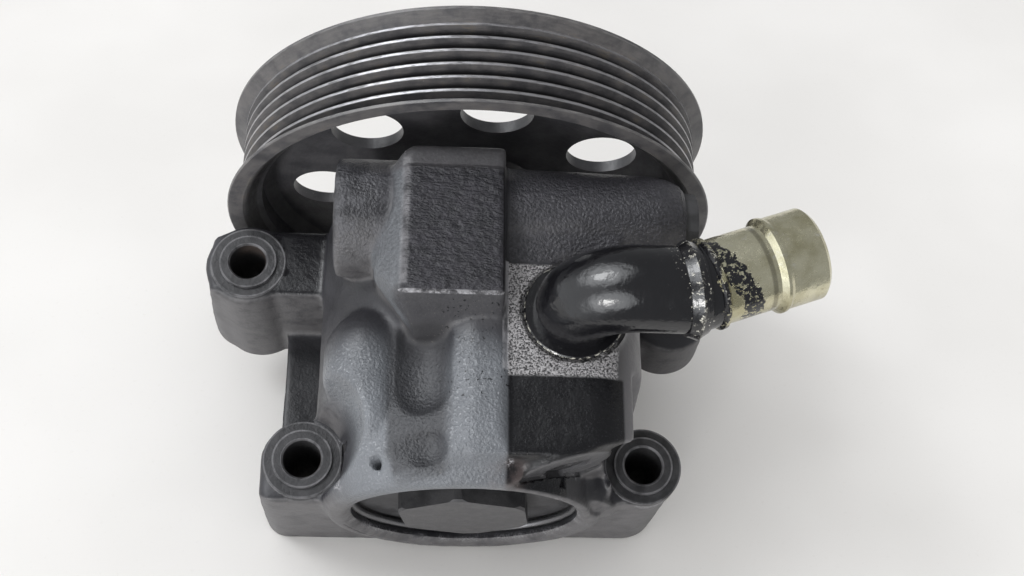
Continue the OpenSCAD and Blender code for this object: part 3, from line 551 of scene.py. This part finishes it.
def boss_marks(look):
    """Shares of the machined rings, of the bolt holes and of the thin lips of both."""
    ring, bore, lips = 0.0, 0.0, 0.0
    for x, y in BOSSES:
        away = look.off_axis((x, y, 0), (0, 0, 1))
        ring = look.math("MAXIMUM", ring, look.span(away, (DISC_R + 0.6) * MM, (DISC_R + 0.2) * MM))
        bore = look.math("MAXIMUM", bore, look.span(away, 4.75 * MM, 4.6 * MM))
        lip = look.either(look.band(away, 4.7, 5.1, 0.15), look.band(away, SPOT_R - 0.35, SPOT_R - 0.05, 0.15),
                          look.band(away, DISC_R - 0.3, DISC_R + 0.1, 0.15))
        lips = look.math("MAXIMUM", lips, lip)
    top = look.room(None, None, (BOSS_H - 2.5, BOSS_H + 1), 0.3)
    return look.both(ring, top), bore, look.both(lips, look.room(None, None, (BOSS_H - 1.5, BOSS_H + 1), 0.3))


def pulley_look():
    look = Look("pulley_black_coat")
    x, y, z = look.parts()
    up = look.math("SUBTRACT", z, SHAFT_H * MM)
    radius = look.math("SQRT", look.math("ADD", look.math("MULTIPLY", x, x), look.math("MULTIPLY", up, up)))
    angle = look.math("ARCTAN2", up, x)
    around = look.node("ShaderNodeCombineXYZ")
    look.wire(look.math("MULTIPLY", angle, 0.012), around.inputs[0])
    look.wire(radius, around.inputs[1])
    look.wire(y, around.inputs[2])
    streak = look.noise(1500, 4, 0.6, at=around.outputs[0])
    blotch = look.noise(150, 4, 0.6)
    grain = look.noise(1700, 4, 0.6)
    turns = look.math("MULTIPLY_ADD", y, 1 / (GROOVE_PITCH * MM), 0.5 - GROOVE_Y / GROOVE_PITCH)
    from_crest = look.math("ABSOLUTE", look.math("SUBTRACT", look.math("FRACT", turns), 0.5))
    crest = look.both(look.span(radius, (RIB_R - 0.5) * MM, (RIB_R - 0.2) * MM),
                      look.span(radius, (RIB_R + 0.4) * MM, (RIB_R + 0.15) * MM), look.span(from_crest, 0.105, 0.05))
    shaded_valley = look.span(radius, (RIB_R - 1.5) * MM, (RIB_R - 2.4) * MM)
    belt = look.band(radius, RIB_R - 4, RIB_R + 0.5, 0.3)
    rim = look.span(radius, (FLANGE_R - 0.30) * MM, (FLANGE_R - 0.05) * MM)
    outside = look.span(radius, (RIB_R - 2.5) * MM, (RIB_R - 1.0) * MM)

    paint = look.mix(look.span(blotch, 0.3, 0.7), (0.042, 0.042, 0.047), (0.080, 0.079, 0.085))
    film = look.both(outside, look.span(blotch, 0.35, 0.62, 0.15, 0.8), look.span(streak, 0.3, 0.65, 0.4, 1.0))
    paint = look.mix(film, paint, (0.125, 0.119, 0.118))
    tan = look.both(belt, look.span(blotch, 0.56, 0.66), look.span(streak, 0.45, 0.6))
    paint = look.mix(look.both(tan, 0.6), paint, (0.13, 0.112, 0.090))
    # painted shade: the bottoms of the grooves darkened where shade falls
    paint = look.mix(look.both(belt, shaded_valley, 0.8), paint, (0.008, 0.008, 0.009))
    specks = look.both(look.span(grain, 0.66, 0.74), look.span(blotch, 0.45, 0.6, 0.1, 0.8))
    paint = look.mix(specks, paint, (0.24, 0.235, 0.23))
    # worn metal and painted highlight: thin bright lines along the groove crests
    worn_highlight = look.both(crest, look.span(streak, 0.34, 0.58, 0.2, 1.0))
    paint = look.mix(look.both(worn_highlight, 0.75), paint, (0.40, 0.40, 0.42))
    paint = look.mix(look.both(rim, look.span(streak, 0.45, 0.6, 0, 0.6)), paint, (0.16, 0.16, 0.16))
    look.set(Base_Color=paint)
    look.set(Metallic=look.both(worn_highlight, 0.75))
    gloss = look.span(streak, 0.3, 0.7, 0.33, 0.48)
    look.set(Roughness=look.math("MULTIPLY_ADD", worn_highlight, -0.1, gloss))
    look.bump((streak, 0.04), (look.noise(500, 3, 0.5), 0.05), (grain, 0.03))
    return look.material


def tube_look():
    look = Look("tube_zinc_and_overspray")
    along = Vector((math.cos(TUBE_TURN), math.sin(TUBE_TURN), 0))
    offset = look.vector("SUBTRACT", look.place, tuple(BEAD_AT * MM))
    reach = look.vector("DOT_PRODUCT", offset, tuple(along))
    blotch = look.noise(260, 5, 0.65)
    grain = look.noise(1700, 4, 0.6)
    cloud = look.noise(85, 4, 0.6)
    fleck = look.noise(900, 4, 0.7)
    ragged = look.math("MULTIPLY_ADD", look.math("SUBTRACT", blotch, 0.5), 9 * MM, reach)
    ragged = look.math("MULTIPLY_ADD", look.math("SUBTRACT", fleck, 0.5), 6 * MM, ragged)
    painted = look.span(ragged, 5.0 * MM, 4.2 * MM)
    smear_at = BEAD_AT + along * 11.5
    lean = look.math("MULTIPLY_ADD", look.parts(offset)[1], 0.5, look.math("MULTIPLY_ADD", blotch, 6 * MM, reach))
    smear = look.both(look.band(lean, 9.0, 13.5, 1.6), look.span(fleck, 0.42, 0.46),
                      look.near(smear_at + Vector((0, -3, 7)), 9.0, 4))
    smear = look.span(smear, 0.4, 0.6)
    painted = look.either(painted, smear)
    zinc = look.mix(look.span(cloud, 0.35, 0.65), (0.42, 0.39, 0.25), (0.66, 0.63, 0.47))
    zinc = look.mix(look.span(fleck, 0.62, 0.74, 0, 0.4), zinc, (0.13, 0.11, 0.06))
    zinc = look.mix(look.span(blotch, 0.58, 0.7, 0, 0.6), zinc, (0.68, 0.66, 0.58))
    grime = look.either(look.both(look.band(reach, 1.2, 2.4, 0.8), look.span(fleck, 0.4, 0.55)),
                        look.both(look.band(reach, 15.7, 16.3, 0.5), 0.6))
    zinc = look.mix(look.both(grime, 0.8), zinc, (0.06, 0.05, 0.035))
    chips = look.both(look.pointed(0.52, 0.57), look.span(fleck, 0.5, 0.58))
    chips = look.either(chips, look.both(look.band(reach, -3.4, 1.2, 0.6), look.span(fleck, 0.60, 0.66)))
    paint = look.mix(cloud, (0.004, 0.004, 0.005), (0.010, 0.010, 0.012))
    paint = look.mix(look.span(fleck, 0.66, 0.74, 0, 0.4), paint, (0.10, 0.10, 0.10))
    paint = look.mix(chips, paint, (0.55, 0.54, 0.48))
    look.set(Base_Color=look.mix(painted, zinc, paint))
    look.set(Metallic=look.span(painted, 0.0, 1.0, 0.95, 0.0))
    bare_gloss = look.span(fleck, 0.3, 0.7, 0.15, 0.30)
    paint_gloss = look.span(blotch, 0.3, 0.7, 0.09, 0.2)
    gloss = look.node("ShaderNodeMix", data_type="FLOAT")
    look.wire(painted, gloss.inputs[0])
    look.wire(bare_gloss, gloss.inputs[2])
    look.wire(paint_gloss, gloss.inputs[3])
    look.set(Roughness=gloss.outputs[0])
    look.bump((look.noise(380, 3, 0.5), 0.16), (painted, 0.06), (fleck, 0.02), (grain, 0.01))
    return look.material


def cover_look():
    look = Look("cover_worn_paint")
    blotch = look.noise(230, 5, 0.6)
    grain = look.noise(1500, 4, 0.6)
    rear = look.facing((0, -1, 0), 0.8, 0.95)
    # painted light: the raised face turned to the rear is lighter, as if lit from the rear
    raised_painted_light = look.both(rear, look.room(None, (-14, -12), None, 0.4))
    paint = look.mix(look.span(blotch, 0.3, 0.7), (0.020, 0.020, 0.022), (0.045, 0.045, 0.048))
    paint = look.mix(look.both(raised_painted_light, look.span(blotch, 0.3, 0.7, 0.75, 1.0)), paint, (0.056, 0.055, 0.058))
    paint = look.mix(look.span(grain, 0.6, 0.75, 0, 0.3), paint, (0.15, 0.145, 0.14))
    look.set(Base_Color=paint, Metallic=0.1)
    look.set(Roughness=look.span(blotch, 0.3, 0.7, 0.42, 0.6))
    look.bump((look.noise(600, 3, 0.5), 0.06), (grain, 0.05))
    return look.material


def steel_look(name, colour, rough, stretch):
    look = Look(name)
    lines = look.noise(900, 3, 0.5, stretch=stretch)
    blotch = look.noise(150, 4, 0.6)
    dark = tuple(c * 0.72 for c in colour)
    look.set(Base_Color=look.mix(blotch, dark, colour), Metallic=1.0)
    look.set(Roughness=look.span(lines, 0.3, 0.7, rough - 0.08, rough + 0.1))
    look.bump((lines, 0.01))
    return look.material


def rubber_look():
    look = Look("moulded_rubber")
    grain = look.noise(2200, 3, 0.5)
    look.set(Base_Color=look.mix(grain, (0.008, 0.008, 0.008), (0.022, 0.022, 0.023)))
    look.set(Roughness=look.span(grain, 0.3, 0.7, 0.5, 0.7))
    look.bump((grain, 0.02))
    return look.material


def floor_look():
    look = Look("pale_table")
    speck = look.noise(700, 3, 0.6)
    cloud = look.noise(9, 3, 0.5)
    pale = look.mix(look.span(cloud, 0.3, 0.7), (0.79, 0.785, 0.775), (0.85, 0.846, 0.838))
    look.set(Base_Color=look.mix(look.span(speck, 0.6, 0.75, 0, 0.12), pale, (0.6, 0.58, 0.55)))
    look.set(Roughness=look.span(cloud, 0.3, 0.7, 0.4, 0.55))
    return look.material


def dress(node, material):
    """Gives a CAD node its material."""
    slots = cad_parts[node].data.materials
    slots.clear()
    slots.append(material)


def smooth_faces(mesh, angle):
    """Smooth shading, broken at edges sharper than angle in degrees."""
    mesh.polygons.foreach_set("use_smooth", [True] * len(mesh.polygons))
    mesh.set_sharp_from_angle(angle=math.radians(angle))


def flat_bosses(mesh):
    """Flat shading for the machined tops of the bosses."""
    centres, normals = rows(mesh.polygons, "center"), rows(mesh.polygons, "normal")
    level = (normals[:, 2] > 0.995) & (centres[:, 2] > (BOSS_H - 1.1) * MM)
    near = np.zeros(len(centres), bool)
    for boss in BOSSES:
        near |= np.hypot(*(centres[:, :2] - np.array(boss) * MM).T) < (DISC_R + 1) * MM
    mesh.polygons.foreach_set("use_smooth", ~(level & near))


# Pieces

casting = casting_look()
skin = housing_skin()
smooth_faces(skin.data, SHARP_ANGLE)
flat_bosses(skin.data)
skin.data.materials.clear()
skin.data.materials.append(casting)
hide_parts("housing")
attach(skin, "body")

pulley = pulley_look()
for node in ("pulley_rim", "pulley_web", "pulley_hub"):
    dress(node, pulley)
dress("suction_tube", tube_look())
cover = cover_look()
for node in ("end_cover", "core_plug", "valve_plug"):
    dress(node, cover)
ground = steel_look("ground_steel", (0.52, 0.52, 0.54), 0.28, (1, 14, 1))
for node in ("drive_shaft", "rotor", "vanes", "thrust_plate", "cam_ring", "pressure_plate", "dowel_pins",
             "flow_spool"):
    dress(node, ground)
wire = steel_look("spring_wire", (0.24, 0.24, 0.25), 0.34, (3, 3, 3))
for node in ("rotor_ring", "plate_spring", "retaining_ring"):
    dress(node, wire)
coil = new_object("flow_spring_coil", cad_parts["flow_spring"].data.copy())
coil.data.materials.clear()
coil.data.materials.append(wire)
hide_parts("flow_spring")
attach(coil, "body")
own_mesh(coil)
dress("front_bushing", steel_look("bush_bronze", (0.55, 0.36, 0.17), 0.35, (1, 10, 1)))
dress("orifice_fitting", steel_look("zinc_fitting", (0.55, 0.52, 0.40), 0.3, (10, 1, 1)))
rubber = rubber_look()
for node in ("shaft_seal", "cover_oring", "tube_oring", "plug_oring"):
    dress(node, rubber)


# Stage: the floor that the pump lies on, light and camera

def lay_floor():
    """The pale floor, tilted so that the rear feet and the pulley's rim rest on it."""
    bm = bmesh.new()
    corners = ((-0.9, -0.11), (0.9, -0.11), (0.9, 1.1), (-0.9, 1.1))
    bm.faces.new([bm.verts.new((x, y, 0)) for x, y in corners])
    mesh = bpy.data.meshes.new("floor")
    bm.to_mesh(mesh)
    bm.free()
    floor = new_object("floor", mesh)
    floor.location = FLOOR_TOUCH
    floor.rotation_euler = (-FLOOR_TILT, 0, 0)
    mesh.materials.append(floor_look())


def lamp(name, at, aim, size, power, colour):
    """A round area lamp; lengths in metres, power in watts."""
    light = bpy.data.lights.new(name, "AREA")
    light.shape = "DISK"
    light.size = size
    light.energy = power
    light.color = colour
    obj = bpy.data.objects.new(name, light)
    obj.location = at
    obj.rotation_euler = (Vector(aim) - Vector(at)).to_track_quat("-Z", "Y").to_euler()
    bpy.context.scene.collection.objects.link(obj)


def light_world():
    """Even room light; what shines mirrors a darker room with a window, a door and a pale wall on the left."""
    world = bpy.data.worlds.new("studio")
    bpy.context.scene.world = world
    world.use_nodes = True
    tree = world.node_tree
    toward = tree.nodes.new("ShaderNodeTexCoord").outputs["Generated"]

    def lobe(axis, low, high, dim, bright):
        facing = tree.nodes.new("ShaderNodeVectorMath")
        facing.operation = "DOT_PRODUCT"
        facing.inputs[1].default_value = Vector(axis).normalized()
        tree.links.new(toward, facing.inputs[0])
        level = tree.nodes.new("ShaderNodeMapRange")
        level.interpolation_type = "SMOOTHSTEP"
        for socket, value in zip(level.inputs[1:5], (low, high, dim, bright)):
            socket.default_value = value
        tree.links.new(facing.outputs["Value"], level.inputs[0])
        return level.outputs[0]

    def total(one, other):
        add = tree.nodes.new("ShaderNodeMath")
        tree.links.new(one, add.inputs[0])
        tree.links.new(other, add.inputs[1])
        return add.outputs[0]

    def sky(colour, strength):
        made = tree.nodes.new("ShaderNodeBackground")
        made.inputs["Color"].default_value = (*colour, 1)
        if isinstance(strength, float):
            made.inputs["Strength"].default_value = strength
        else:
            tree.links.new(strength, made.inputs["Strength"])
        return made.outputs[0]

    def choose(ray, first, second):
        mix = tree.nodes.new("ShaderNodeMixShader")
        tree.links.new(path.outputs[ray], mix.inputs[0])
        tree.links.new(first, mix.inputs[1])
        tree.links.new(second, mix.inputs[2])
        return mix.outputs[0]

    path = tree.nodes.new("ShaderNodeLightPath")
    even = sky((1.0, 0.99, 0.98), lobe(WALL_SIDE, -0.3, 0.9, SKY_DIM, SKY_BRIGHT))
    openings = total(lobe(WINDOW_AT, 0.82, 0.96, 0.0, 4.0), lobe(DOOR_AT, 0.86, 0.97, 0.0, 3.5))
    mirrored = total(lobe(WALL_SIDE, 0.35, 0.95, 0.38, 1.5), openings)
    lit = choose("Is Glossy Ray", even, sky((0.95, 0.975, 1.0), mirrored))
    seen = choose("Is Camera Ray", lit, sky((0.83, 0.825, 0.815), 1.0))
    tree.links.new(seen, tree.nodes["World Output"].inputs[0])


def place_camera():
    """The camera that was found for the photograph."""
    data = bpy.data.cameras.new("camera")
    data.sensor_width = SENSOR_MM
    data.lens = FOCAL_PX * SENSOR_MM / PICTURE_W
    data.clip_start = 0.01
    cam = bpy.data.objects.new("camera", data)
    back = -CAM_FORWARD.normalized()
    right = CAM_UP.cross(back).normalized()
    up = back.cross(right)
    cam.matrix_world = Matrix.Translation(CAM_POS) @ Matrix((right, up, back)).transposed().to_4x4()
    bpy.context.scene.collection.objects.link(cam)
    bpy.context.scene.camera = cam


lay_floor()
lamp("window", WINDOW_AT, LAMP_AIM, 0.8, 13, (0.985, 0.99, 1.0))
lamp("door", DOOR_AT, LAMP_AIM, 0.5, 14, (1.0, 0.985, 0.965))
light_world()
place_camera()
bpy.context.scene.view_settings.view_transform = "Standard"
